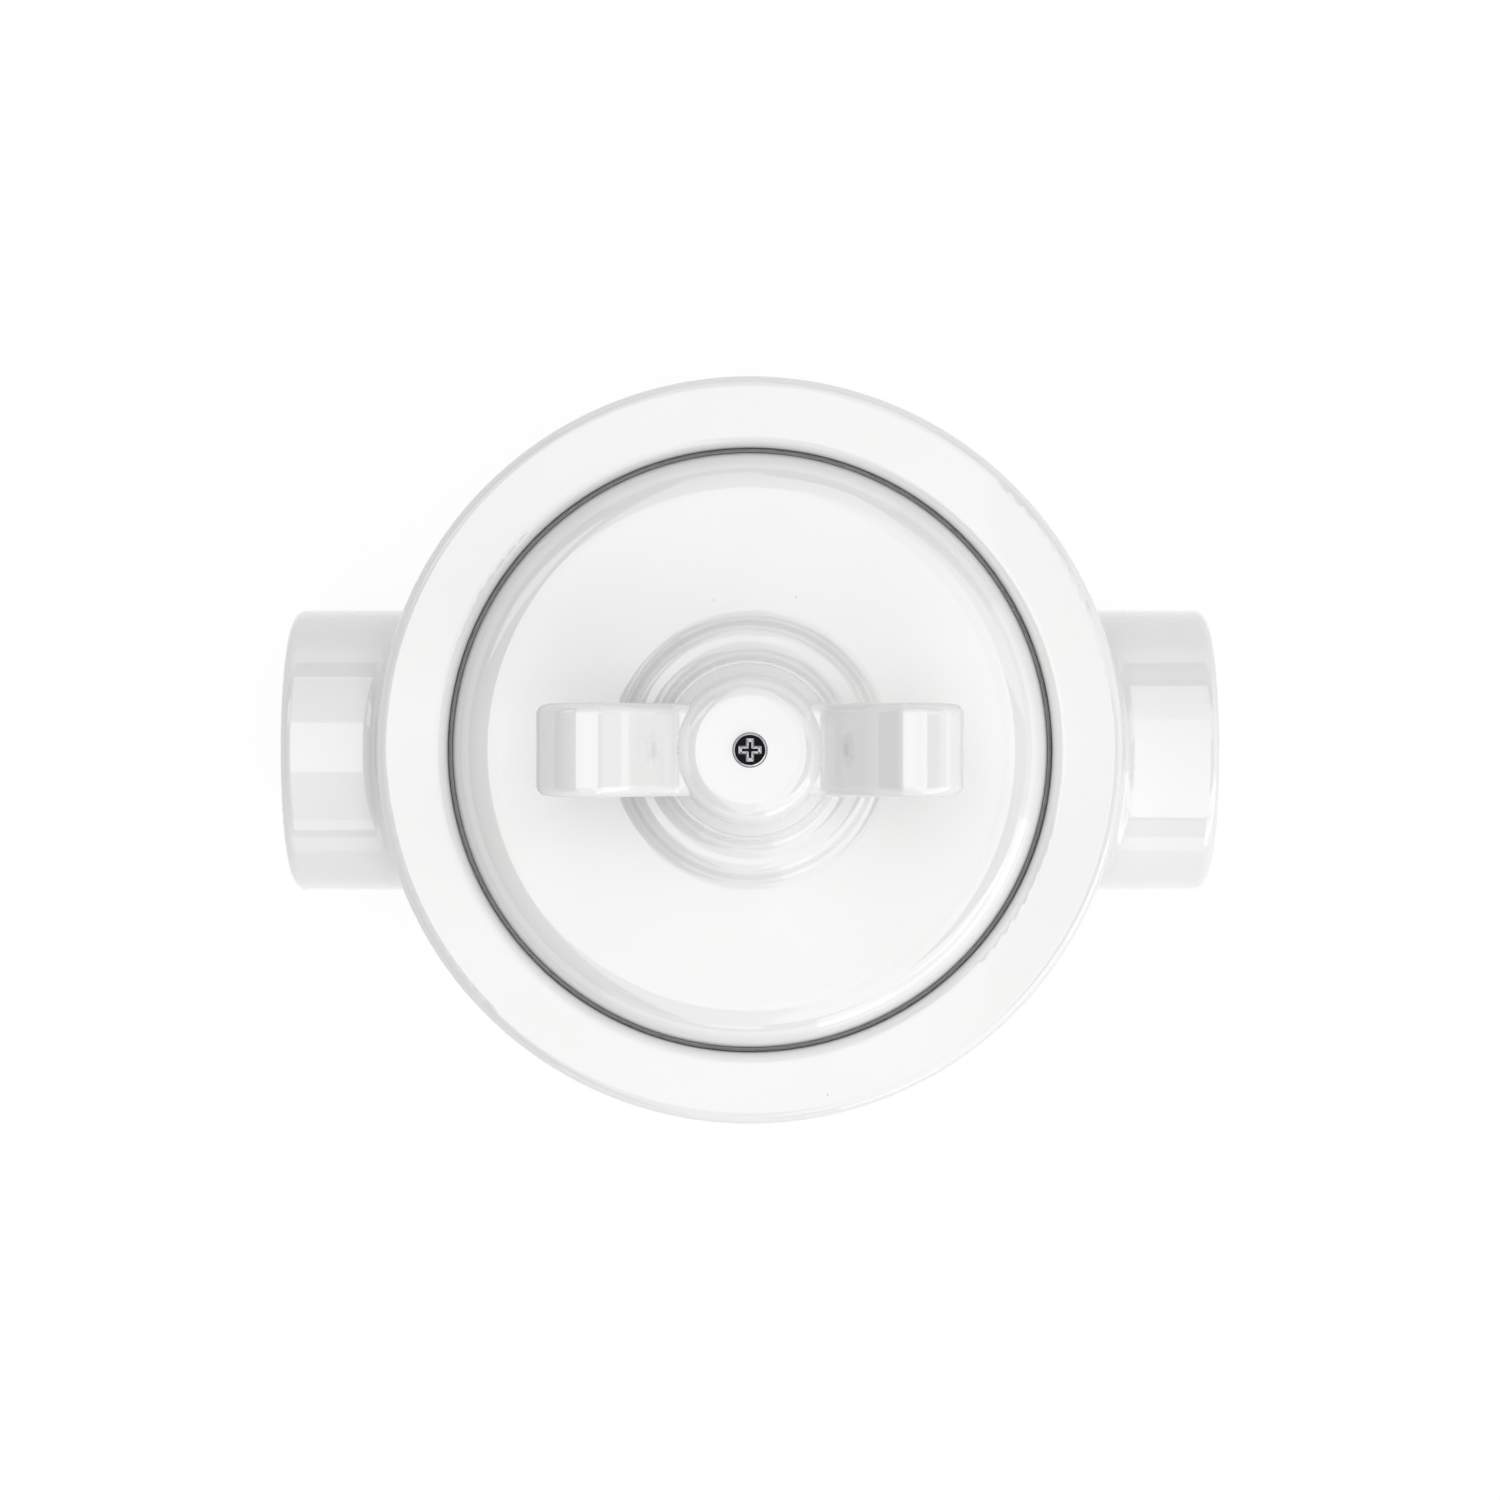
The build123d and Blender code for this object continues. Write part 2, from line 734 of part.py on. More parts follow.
def knob():
    """Porcelain knob: hub with two wings, recess and flatted socket below, screw hole above."""
    right = wing()
    body = revolve(hub_profile(), Axis.Z) + right + mirror(right, Plane.YZ)
    body = body - rod(knob_recess_radius, knob_foot - 1, knob_ceiling)
    body = body - drive_hole(knob_ceiling - 1, knob_socket_top)
    head_hole = rod(knob_screw_head_radius + knob_screw_recess_clearance, knob_screw_seat, hub_top + 1)
    return body - head_hole - rod(knob_screw_radius + knob_screw_hole_clearance, knob_ceiling, hub_top)


def knob_screw():
    """Small pan-head screw with a cross recess."""
    top = knob_screw_seat + knob_screw_head_height
    shank = rod(knob_screw_radius, knob_screw_seat - knob_screw_length, knob_screw_seat)
    screw = rod(knob_screw_head_radius, knob_screw_seat, top) + shank
    rim = screw.edges().filter_by(GeomType.CIRCLE).sort_by(Axis.Z)[-1]
    screw = fillet(rim, knob_screw_head_round)
    arm = Box(2 * knob_screw_recess_arm, knob_screw_recess_width, 2 * knob_screw_cross_depth)
    for turn in (0, 90):
        screw = screw - Pos(0, 0, top) * Rot(0, 0, turn) * arm
    return screw


nodes = {
    "base_body": base_body(),
    "pillar_inserts": pillar_inserts(),
    "cover_gasket": cover_gasket(),
    "cover": cover(),
    "nut_washer": nut_washer(),
    "cover_nut": cover_nut(),
    "threaded_bush": threaded_bush(),
    "mechanism_bridge": mechanism_bridge(),
    "bridge_washers": bridge_washers(),
    "bridge_screws": bridge_screws(),
    "block_screws": block_screws(),
    "block_nuts": block_nuts(),
    "switch_block": switch_block(),
    "terminal_screws": terminal_screws(),
    "detent_spring_right": detent_seat(1, 0),
    "detent_spring_left": detent_seat(-1, 0),
    "spindle": spindle(),
    "spindle_clip": spindle_clip(),
    "rotor_lower_disc": rotor_disc(stack_foot),
    "rotor_upper_disc": rotor_disc(upper_disc_foot),
    "moving_contact": moving_contact(),
    "index_cam": index_cam(),
    "thrust_washer": thrust_washer(),
    "knob_washer": knob_washer(),
    "knob": knob(),
    "knob_screw": knob_screw(),
}
for number, piece in enumerate(quarters(terminal()), start=1):
    nodes[f"terminal_{number}"] = piece

os.makedirs("parts", exist_ok=True)
for name, shape in nodes.items():
    export_step(shape, f"parts/{name}.step")
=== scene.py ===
# %% [markdown]
# A porcelain rotary switch, dressed for its portrait.
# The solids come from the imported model, all in metres and in one shared frame:
# the back lies in the plane z = 0, +Z points out of the wall and +X runs along
# the two conduit collars. Nothing here moves or resizes them. This lesson gives
# every piece its finish, swaps small metal parts for finer ones, and sets up the
# camera, the light and the white ground.

# %% Load the fixed frame
import json
import math

import bmesh
import bpy
from mathutils import Matrix, Vector


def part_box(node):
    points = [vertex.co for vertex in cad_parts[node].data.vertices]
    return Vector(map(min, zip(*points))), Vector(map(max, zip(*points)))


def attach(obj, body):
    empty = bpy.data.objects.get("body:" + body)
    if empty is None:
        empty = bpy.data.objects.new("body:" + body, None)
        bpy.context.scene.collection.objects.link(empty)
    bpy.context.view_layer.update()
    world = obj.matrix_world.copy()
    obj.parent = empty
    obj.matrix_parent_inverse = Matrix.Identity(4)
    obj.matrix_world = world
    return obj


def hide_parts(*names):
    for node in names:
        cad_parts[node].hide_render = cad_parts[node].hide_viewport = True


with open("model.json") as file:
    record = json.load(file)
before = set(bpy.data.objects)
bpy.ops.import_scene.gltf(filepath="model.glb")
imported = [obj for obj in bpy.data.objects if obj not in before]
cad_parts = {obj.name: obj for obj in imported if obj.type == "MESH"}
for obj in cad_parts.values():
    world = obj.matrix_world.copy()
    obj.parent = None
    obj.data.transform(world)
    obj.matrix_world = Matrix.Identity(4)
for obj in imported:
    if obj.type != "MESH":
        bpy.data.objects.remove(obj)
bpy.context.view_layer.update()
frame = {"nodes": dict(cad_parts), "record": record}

# %% [markdown]
# The photograph looks straight at the front of the switch. The wings spread
# towards their crests, which says how near the lens was: about 46 cm in front
# of the wall. A long lens on a full frame sensor then fills the frame. Whatever
# is made in this lesson enters the scene through the small helper here.


# %% Camera in front of the switch
def add_object(name, data):
    thing = bpy.data.objects.new(name, data)
    bpy.context.scene.collection.objects.link(thing)
    return thing


camera_distance = 0.4614
camera_lens = 91.44

camera = add_object("front_camera", bpy.data.cameras.new("front_camera"))
camera.location = (0, 0, camera_distance)
camera.data.lens = camera_lens
camera.data.sensor_width = 36
camera.data.clip_start = 0.01
bpy.context.scene.camera = camera
bpy.context.scene.view_settings.view_transform = "Standard"
print("camera height", camera_distance, "lens", camera_lens)

# %% [markdown]
# Materials are node trees. These small helpers make nodes, place node groups,
# set sockets by name and link them, so that each finish below reads as a short
# list of what feeds what. The last one opens a group with named sockets.


# %% Helpers for node trees
def new_material(name):
    material = bpy.data.materials.new(name)
    material.use_nodes = True
    return material, material.node_tree


def add_node(tree, kind, sockets=None, **settings):
    node = tree.nodes.new(kind)
    for key, value in settings.items():
        setattr(node, key, value)
    for key, value in (sockets or {}).items():
        node.inputs[key].default_value = value
    return node


def place(tree, group, sockets):
    return add_node(tree, "ShaderNodeGroup", sockets, node_tree=group)


def grey(level):
    return (level, level, level, 1)


def join(tree, *ends):
    for start, end in zip(ends[::2], ends[1::2]):
        tree.links.new(start, end)


def open_group(name, inputs, outputs):
    group = bpy.data.node_groups.new(name, "ShaderNodeTree")
    for label, kind in inputs.items():
        group.interface.new_socket(label, in_out="INPUT", socket_type="NodeSocket" + kind)
    for label, kind in outputs.items():
        group.interface.new_socket(label, in_out="OUTPUT", socket_type="NodeSocket" + kind)
    start = group.nodes.new("NodeGroupInput")
    end = group.nodes.new("NodeGroupOutput")
    return group, start.outputs, end.inputs


print("node helpers ready")

# %% [markdown]
# The ground is a round white sheet that the switch lies on. Far out it bends up
# as studio paper does, so no horizon shows from the side. Its section is a short
# list of points (radius, height), and rings of faces join one point to the next.

# %% Sheet of paper
paper_level = -0.0004
bend_start, bend_radius, rim_height = 5.2, 0.8, 1.5
bend_steps, around = 8, 64

section = [(bend_start, paper_level)]
for step in range(1, bend_steps + 1):
    turn = math.radians(90) * step / bend_steps
    rise = paper_level + bend_radius * (1 - math.cos(turn))
    section.append((bend_start + bend_radius * math.sin(turn), rise))
section.append((bend_start + bend_radius, rim_height))

spots, faces = [], [tuple(range(around))]
for radius, height in section:
    for step in range(around):
        turn = 2 * math.pi * step / around
        spots.append((radius * math.cos(turn), radius * math.sin(turn), height))
for ring in range(len(section) - 1):
    for step in range(around):
        near, after = ring * around + step, ring * around + (step + 1) % around
        faces.append((near, after, after + around, near + around))
ground_mesh = bpy.data.meshes.new("ground")
ground_mesh.from_pydata(spots, [], faces)
for face in ground_mesh.polygons:
    face.use_smooth = face.index > 0  # face 0 is the flat middle
ground = add_object("ground", ground_mesh)
print("ground", tuple(ground.dimensions))

# %% [markdown]
# To the camera, and in anything that mirrors it, the paper is almost white by
# itself, and a small share of it still takes light, so the switch keeps a faint
# shadow. To all other rays it is plain white paper, which throws soft light back
# at the collars and the body. The Light Path node tells the rays apart.

# %% White paper
paper_glow, paper_shadow_share, paper_white = 0.87, 0.16, 0.8

paper, tree = new_material("white_paper")
tree.nodes.remove(tree.nodes["Principled BSDF"])
rays = add_node(tree, "ShaderNodeLightPath")
seen_or_mirrored = add_node(tree, "ShaderNodeMath", operation="MAXIMUM")
seen_at_all = add_node(tree, "ShaderNodeMath", operation="MAXIMUM")
shadow_share = add_node(tree, "ShaderNodeBsdfDiffuse", {"Color": grey(paper_shadow_share)})
glow = add_node(tree, "ShaderNodeEmission", {"Color": grey(1), "Strength": paper_glow})
seen = add_node(tree, "ShaderNodeAddShader")
plain = add_node(tree, "ShaderNodeBsdfDiffuse", {"Color": grey(paper_white)})
either = add_node(tree, "ShaderNodeMixShader")
join(
    tree,
    rays.outputs["Is Camera Ray"], seen_or_mirrored.inputs[0],
    rays.outputs["Is Glossy Ray"], seen_or_mirrored.inputs[1],
    seen_or_mirrored.outputs[0], seen_at_all.inputs[0],
    rays.outputs["Is Transmission Ray"], seen_at_all.inputs[1],
    shadow_share.outputs[0], seen.inputs[0],
    glow.outputs[0], seen.inputs[1],
    seen_at_all.outputs[0], either.inputs[0],
    plain.outputs[0], either.inputs[1],
    seen.outputs[0], either.inputs[2],
    either.outputs[0], tree.nodes["Material Output"].inputs["Surface"],
)
ground_mesh.materials.append(paper)
print("paper nodes:", len(tree.nodes))

# %% [markdown]
# A glazed form is drawn by what it mirrors. The photograph has a softbox right
# overhead: its left edge ends the bright part of every rounded shoulder, and its
# two long edges end the bright band on the left collar. Weaker boxes carry on
# above, below and to the right of it, one hangs at the upper left, and four
# panels stand on the ground. Low on the left there is nothing, which keeps that
# side of the shoulder in shade. Each lamp has a plain brightness: at 1 it is as
# bright as white paper.


# %% Softboxes
lamp_height = 1.2
panel_distance, panel_width, panel_height = 2.0, 2.4, 1.2


def softbox(name, low, high, brightness):
    """A lamp panel that faces down, given by two corners in plan and by its brightness."""
    lamp = bpy.data.lights.new(name, "AREA")
    lamp.shape = "RECTANGLE"
    lamp.size, lamp.size_y = high[0] - low[0], high[1] - low[1]
    lamp.energy = brightness * math.pi * lamp.size * lamp.size_y
    box = add_object(name, lamp)
    box.location = ((low[0] + high[0]) / 2, (low[1] + high[1]) / 2, lamp_height)
    box.visible_camera = False
    return box


def side_panel(name, bearing, brightness):
    """A lamp panel that stands on the ground and faces the switch."""
    half_width, half_height = panel_width / 2, panel_height / 2
    box = softbox(name, (-half_width, -half_height), (half_width, half_height), brightness)
    turn = math.radians(bearing)
    away = (panel_distance * math.cos(turn), panel_distance * math.sin(turn))
    box.location = (*away, half_height)
    aim = Vector((-math.cos(turn), -math.sin(turn), 0))
    box.rotation_euler = aim.to_track_quat("-Z", "Y").to_euler()


softbox("overhead", (-0.48, -0.38), (0.1, 0.48), 1.8)
softbox("overhead_above", (-0.48, 0.48), (0.1, 2.2), 0.9)
softbox("overhead_below", (-0.48, -3.0), (0.1, -0.38), 0.9)
softbox("overhead_right", (0.1, -1.8), (0.65, 0.55), 1.42)
softbox("beyond_right", (0.1, 0.55), (0.65, 1.6), 1.0)
softbox("upper_right", (0.65, 0.2), (2.0, 1.0), 0.8)
softbox("lower_right", (0.65, -1.8), (2.1, -0.9), 1.25)
softbox("upper_left", (-1.8, 0.55), (-0.7, 1.2), 1.1)
side_panel("right_panel", 0, 0.5)
side_panel("lower_right_panel", -45, 1.0)
side_panel("lower_panel", -90, 0.45)
side_panel("upper_panel", 90, 0.3)

# %% [markdown]
# Between and behind the lamps stands a dim white room. It lifts the sides that
# the lamps don't reach, but stays weak, or the forms would look flat. Where the
# camera looks low across the sheet it meets the sheet's raised rim, not the room.

# %% World behind the lamps
room_strength = 0.3
world = bpy.data.worlds.new("studio")
bpy.context.scene.world = world
world.use_nodes = True
sky = world.node_tree.nodes["Background"]
sky.inputs["Color"].default_value = grey(1)
sky.inputs["Strength"].default_value = room_strength
print("world strength", room_strength)

# %% [markdown]
# Real surfaces are never one flat colour. The first shared effect lets a colour
# drift slowly towards a second one, as tarnish, firing or pressing leaves it.


# %% Slow drift of colour, a group
def build_colour_drift():
    inputs = {"Colour": "Color", "Second Colour": "Color", "Scale": "Float", "Share": "Float"}
    group, given, result = open_group("colour_drift", inputs, {"Colour": "Color"})
    where = add_node(group, "ShaderNodeTexCoord")
    clouds = add_node(group, "ShaderNodeTexNoise", {"Detail": 3.0, "Roughness": 0.55})
    spread = add_node(group, "ShaderNodeMapRange", {"From Min": 0.35, "From Max": 0.65})
    share = add_node(group, "ShaderNodeMath", operation="MULTIPLY")
    mix = add_node(group, "ShaderNodeMix", data_type="RGBA")
    join(
        group,
        where.outputs["Object"], clouds.inputs["Vector"],
        given["Scale"], clouds.inputs["Scale"],
        clouds.outputs["Fac"], spread.inputs["Value"],
        spread.outputs[0], share.inputs[0],
        given["Share"], share.inputs[1],
        share.outputs[0], mix.inputs["Factor"],
        given["Colour"], mix.inputs["A"],
        given["Second Colour"], mix.inputs["B"],
        mix.outputs["Result"], result["Colour"],
    )
    return group


colour_drift = build_colour_drift()
print("group", colour_drift.name, [s.name for s in colour_drift.interface.items_tree])

# %% [markdown]
# Fine lines tell how a metal piece was made: the lathe leaves rings, rolling and
# brushing leave straight lines. Both are noise, stretched by scaling the space it
# is read in: little along the line, much across it.


# %% Tool marks, a group
def build_tool_marks():
    inputs = {"Stretch": "Vector", "Scale": "Float", "Smooth": "Float", "Rough": "Float"}
    outputs = {"Height": "Float", "Roughness": "Float"}
    group, given, result = open_group("tool_marks", inputs, outputs)
    where = add_node(group, "ShaderNodeTexCoord")
    stretched = add_node(group, "ShaderNodeVectorMath", operation="MULTIPLY")
    lines = add_node(group, "ShaderNodeTexNoise", {"Detail": 4.0, "Roughness": 0.65})
    shine = add_node(group, "ShaderNodeMapRange", {"From Min": 0.3, "From Max": 0.7})
    join(
        group,
        where.outputs["Object"], stretched.inputs[0],
        given["Stretch"], stretched.inputs[1],
        stretched.outputs[0], lines.inputs["Vector"],
        given["Scale"], lines.inputs["Scale"],
        lines.outputs["Fac"], result["Height"],
        lines.outputs["Fac"], shine.inputs["Value"],
        given["Smooth"], shine.inputs["To Min"],
        given["Rough"], shine.inputs["To Max"],
        shine.outputs[0], result["Roughness"],
    )
    return group


tool_marks = build_tool_marks()
print("group", tool_marks.name, [s.name for s in tool_marks.interface.items_tree])

# %% [markdown]
# Edges get rubbed first: plating thins, brass brightens, dark plastic greys. The
# Bevel node knows where an edge is near, because there its rounded normal turns
# away from the true one. Noise breaks the line up, as wear is never even.


# %% Edge wear, a group
def build_edge_wear():
    inputs = {"Colour": "Color", "Worn Colour": "Color", "Scale": "Float", "Amount": "Float"}
    group, given, result = open_group("edge_wear", inputs, {"Colour": "Color", "Mask": "Float"})
    rounded = add_node(group, "ShaderNodeBevel", {"Radius": 0.00025}, samples=4)
    surface = add_node(group, "ShaderNodeNewGeometry")
    alike = add_node(group, "ShaderNodeVectorMath", operation="DOT_PRODUCT")
    near = add_node(group, "ShaderNodeMapRange", {"From Min": 0.995, "From Max": 0.86})
    where = add_node(group, "ShaderNodeTexCoord")
    patches = add_node(group, "ShaderNodeTexNoise", {"Detail": 3.0, "Roughness": 0.6})
    broken = add_node(group, "ShaderNodeMapRange", {"From Min": 0.35, "From Max": 0.6})
    rubbed = add_node(group, "ShaderNodeMath", operation="MULTIPLY")
    worn = add_node(group, "ShaderNodeMath", operation="MULTIPLY")
    mix = add_node(group, "ShaderNodeMix", data_type="RGBA")
    join(
        group,
        rounded.outputs[0], alike.inputs[0],
        surface.outputs["Normal"], alike.inputs[1],
        alike.outputs["Value"], near.inputs["Value"],
        where.outputs["Object"], patches.inputs["Vector"],
        given["Scale"], patches.inputs["Scale"],
        patches.outputs["Fac"], broken.inputs["Value"],
        near.outputs[0], rubbed.inputs[0],
        broken.outputs[0], rubbed.inputs[1],
        rubbed.outputs[0], worn.inputs[0],
        given["Amount"], worn.inputs[1],
        worn.outputs[0], mix.inputs["Factor"],
        given["Colour"], mix.inputs["A"],
        given["Worn Colour"], mix.inputs["B"],
        mix.outputs["Result"], result["Colour"],
        worn.outputs[0], result["Mask"],
    )
    return group


edge_wear = build_edge_wear()
print("group", edge_wear.name, [s.name for s in edge_wear.interface.items_tree])

# %% [markdown]
# Fired clay and pressed fibre have dots of another colour in them: iron specks
# under a glaze, pores in steatite, fibres' ends. Round cells of a Voronoi texture
# give the dots, and their size says how many of them show.


# %% Specks, a group
def build_specks():
    inputs = {"Colour": "Color", "Speck Colour": "Color", "Scale": "Float", "Size": "Float"}
    group, given, result = open_group("specks", inputs, {"Colour": "Color", "Mask": "Float"})
    where = add_node(group, "ShaderNodeTexCoord")
    cells = add_node(group, "ShaderNodeTexVoronoi")
    dot = add_node(group, "ShaderNodeMath", operation="LESS_THAN")
    mix = add_node(group, "ShaderNodeMix", data_type="RGBA")
    join(
        group,
        where.outputs["Object"], cells.inputs["Vector"],
        given["Scale"], cells.inputs["Scale"],
        cells.outputs["Distance"], dot.inputs[0],
        given["Size"], dot.inputs[1],
        dot.outputs[0], mix.inputs["Factor"],
        given["Colour"], mix.inputs["A"],
        given["Speck Colour"], mix.inputs["B"],
        mix.outputs["Result"], result["Colour"],
        dot.outputs[0], result["Mask"],
    )
    return group


specks = build_specks()
print("group", specks.name, [s.name for s in specks.interface.items_tree])

# %% [markdown]
# A fired glaze lies like thick honey. It follows the clay with slow ripples, it
# pools and thins, so its gloss changes a little, and it is wiped off the back,
# where the piece stood in the kiln. There the bare clay is matt and a bit darker.
# In gaps so narrow that other surfaces almost close them in, such as the one round
# the cover, shade is painted in: the Ambient Occlusion node finds them, and there the colour goes
# near black.


# %% Glaze skin, a group for all porcelain
gap_width = 0.0012


def build_glaze_skin():
    colours = {"Colour": "Color", "Bare Colour": "Color"}
    inputs = {**colours, "Ripple Scale": "Float", "Bare Below": "Float"}
    outputs = {"Colour": "Color", "Roughness": "Float", "Coat": "Float", "Height": "Float"}
    group, given, result = open_group("glaze_skin", inputs, outputs)
    where = add_node(group, "ShaderNodeTexCoord")
    ripple = add_node(group, "ShaderNodeTexNoise", {"Detail": 2.0, "Roughness": 0.4})
    gloss = add_node(group, "ShaderNodeMapRange", {"To Min": 0.05, "To Max": 0.1})
    split = add_node(group, "ShaderNodeSeparateXYZ")
    edge = add_node(group, "ShaderNodeMath", operation="SUBTRACT")
    coat = add_node(group, "ShaderNodeMapRange", {"From Min": 0.0, "From Max": 0.0002})
    matt = add_node(group, "ShaderNodeMix", {"A": 0.85})
    mix = add_node(group, "ShaderNodeMix", data_type="RGBA")
    # painted shade: where the Ambient Occlusion node finds a narrow gap, such as the one round the
    # cover, the colour is mixed towards near black
    gap_occlusion = add_node(group, "ShaderNodeAmbientOcclusion", {"Distance": gap_width}, samples=8)
    gap_shade_mask = add_node(group, "ShaderNodeMapRange", {"From Min": 0.28, "From Max": 0.1})
    painted_gap_shade = add_node(group, "ShaderNodeMix", {"B": grey(0.02)}, data_type="RGBA")
    join(
        group,
        where.outputs["Object"], ripple.inputs["Vector"],
        given["Ripple Scale"], ripple.inputs["Scale"],
        ripple.outputs["Fac"], gloss.inputs["Value"],
        where.outputs["Object"], split.inputs[0],
        split.outputs["Z"], edge.inputs[0],
        given["Bare Below"], edge.inputs[1],
        edge.outputs[0], coat.inputs["Value"],
        coat.outputs[0], matt.inputs["Factor"],
        gloss.outputs[0], matt.inputs["B"],
        coat.outputs[0], mix.inputs["Factor"],
        given["Bare Colour"], mix.inputs["A"],
        given["Colour"], mix.inputs["B"],
        gap_occlusion.outputs["AO"], gap_shade_mask.inputs["Value"],
        gap_shade_mask.outputs[0], painted_gap_shade.inputs["Factor"],
        mix.outputs["Result"], painted_gap_shade.inputs["A"],
        painted_gap_shade.outputs["Result"], result["Colour"],
        matt.outputs["Result"], result["Roughness"],
        coat.outputs[0], result["Coat"],
        ripple.outputs["Fac"], result["Height"],
    )
    return group


glaze_skin = build_glaze_skin()
print("group", glaze_skin.name, [s.name for s in glaze_skin.interface.items_tree])

# %% [markdown]
# The body, the cover and the knob are one kind of porcelain from three moulds.
# Under the glaze the white is a little uneven, with a rare iron speck. Over it a
# clear coat with the glaze's own high index gives the sharp mirror edges of the
# lamps. Only the body's back and the knob's and cover's undersides are bare.


# %% Porcelain finishes
def porcelain(name, body, warmer, ripple_scale, bare_below):
    material, tree = new_material(name)
    shader = tree.nodes["Principled BSDF"]
    shader.inputs["Coat Roughness"].default_value = 0.03
    shader.inputs["Coat IOR"].default_value = 1.65
    drift = place(tree, colour_drift, {
        "Colour": (*body, 1), "Second Colour": (*warmer, 1), "Scale": 55.0, "Share": 0.7,
    })
    iron = place(tree, specks, {
        "Speck Colour": (0.5, 0.48, 0.45, 1), "Scale": 95.0, "Size": 0.009,
    })
    skin = place(tree, glaze_skin, {
        "Bare Colour": (0.74, 0.72, 0.68, 1),
        "Ripple Scale": ripple_scale,
        "Bare Below": bare_below,
    })
    bump = add_node(tree, "ShaderNodeBump", {"Strength": 1.0, "Distance": 0.00002})
    join(
        tree,
        drift.outputs["Colour"], iron.inputs["Colour"],
        iron.outputs["Colour"], skin.inputs["Colour"],
        skin.outputs["Colour"], shader.inputs["Base Color"],
        skin.outputs["Roughness"], shader.inputs["Roughness"],
        skin.outputs["Coat"], shader.inputs["Coat Weight"],
        skin.outputs["Height"], bump.inputs["Height"],
        bump.outputs[0], shader.inputs["Normal"],
    )
    return material


white = (0.8, 0.8, 0.797)
off_white = (0.785, 0.784, 0.776)
cover_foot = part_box("cover")[0][2]
knob_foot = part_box("knob")[0][2]
finishes = {
    "glazed_porcelain": porcelain(
        "glazed_porcelain", white, off_white, ripple_scale=90.0, bare_below=0.0006,
    ),
    "cover_porcelain": porcelain(
        "cover_porcelain", white, off_white, ripple_scale=80.0, bare_below=cover_foot + 0.0003,
    ),
    "knob_porcelain": porcelain(
        "knob_porcelain", white, off_white, ripple_scale=120.0, bare_below=knob_foot + 0.0001,
    ),
}
print("porcelain:", list(finishes))

# %% [markdown]
# Five metals dress the works: bright chrome on the knob's screw, nickel on the
# bush and its nut, bare brass at the contacts, zinc on screws and strap, ground
# steel on spindle and springs. They share one recipe. A base colour drifts
# towards its tarnish, edges are worn, and tool marks set gloss and height.


# %% Metal finishes
def metal(name, colour, tarnish, worn, gloss, marks_run, fineness=260.0, depth=0.000004):
    material, tree = new_material(name)
    shader = tree.nodes["Principled BSDF"]
    shader.inputs["Metallic"].default_value = 1.0
    drift = place(tree, colour_drift, {
        "Colour": (*colour, 1), "Second Colour": (*tarnish, 1), "Scale": 240.0, "Share": 0.5,
    })
    rubbed = place(tree, edge_wear, {"Worn Colour": (*worn, 1), "Scale": 900.0, "Amount": 0.7})
    marks = place(tree, tool_marks, {
        "Stretch": marks_run, "Scale": fineness, "Smooth": gloss[0], "Rough": gloss[1],
    })
    bump = add_node(tree, "ShaderNodeBump", {"Strength": 1.0, "Distance": depth})
    join(
        tree,
        drift.outputs["Colour"], rubbed.inputs["Colour"],
        rubbed.outputs["Colour"], shader.inputs["Base Color"],
        marks.outputs["Roughness"], shader.inputs["Roughness"],
        marks.outputs["Height"], bump.inputs["Height"],
        bump.outputs[0], shader.inputs["Normal"],
    )
    return material


turned, rolled = (1.0, 1.0, 14.0), (0.6, 9.0, 9.0)
finishes["bright_chrome"] = metal(
    "bright_chrome", (0.66, 0.665, 0.68), (0.5, 0.5, 0.5), (0.75, 0.75, 0.76),
    gloss=(0.05, 0.12), marks_run=turned, depth=0.000001,
)
finishes["nickel_brass"] = metal(
    "nickel_brass", (0.66, 0.63, 0.57), (0.5, 0.45, 0.37), (0.76, 0.62, 0.34),
    gloss=(0.16, 0.3), marks_run=turned,
)
finishes["plain_brass"] = metal(
    "plain_brass", (0.75, 0.56, 0.26), (0.52, 0.33, 0.13), (0.85, 0.68, 0.38),
    gloss=(0.2, 0.38), marks_run=rolled,
)
finishes["zinc_steel"] = metal(
    "zinc_steel", (0.6, 0.62, 0.65), (0.5, 0.49, 0.43), (0.45, 0.45, 0.46),
    gloss=(0.24, 0.42), marks_run=rolled,
)
finishes["spring_steel"] = metal(
    "spring_steel", (0.44, 0.45, 0.47), (0.3, 0.27, 0.24), (0.6, 0.6, 0.61),
    gloss=(0.2, 0.36), marks_run=turned, fineness=420.0,
)
print("metals:", list(finishes)[3:])

# %% [markdown]
# Chrome shows the dark camera where it faces it, and the lamps where it turns
# away, at the rim and along the edges of the recess. No camera stands in this
# scene's mirrors, so that reflection is painted: the Layer Weight node tells how far
# the plating turns away, and its colour goes from near black straight on, a painted
# reflection of the camera, to the plating's own colour at the edge.

# %% Painted reflection of the camera in the chrome
tree = finishes["bright_chrome"].node_tree
shader = tree.nodes["Principled BSDF"]
plating = shader.inputs["Base Color"].links[0].from_socket
turned_away = add_node(tree, "ShaderNodeLayerWeight", {"Blend": 0.5})
camera_reflection_mask = add_node(tree, "ShaderNodeMapRange", {"From Min": 0.06, "From Max": 0.22})
# painted reflection: near black where the chrome faces the viewer, blending to the plating's colour
# as it turns away
painted_camera_reflection = add_node(tree, "ShaderNodeMix", {"A": (0.006, 0.006, 0.007, 1)}, data_type="RGBA")
join(
    tree,
    turned_away.outputs["Facing"], camera_reflection_mask.inputs["Value"],
    camera_reflection_mask.outputs[0], painted_camera_reflection.inputs["Factor"],
    plating, painted_camera_reflection.inputs["B"],
    painted_camera_reflection.outputs["Result"], shader.inputs["Base Color"],
)
print("chrome deepened")

# %% [markdown]
# The rest are moulded, pressed or fired without a glaze: the block of steatite,
# the rotor's brown phenolic discs, the black rubber gasket and the red fibre
# washer. One recipe again: drift, specks, worn edges, and a grain for the bump.


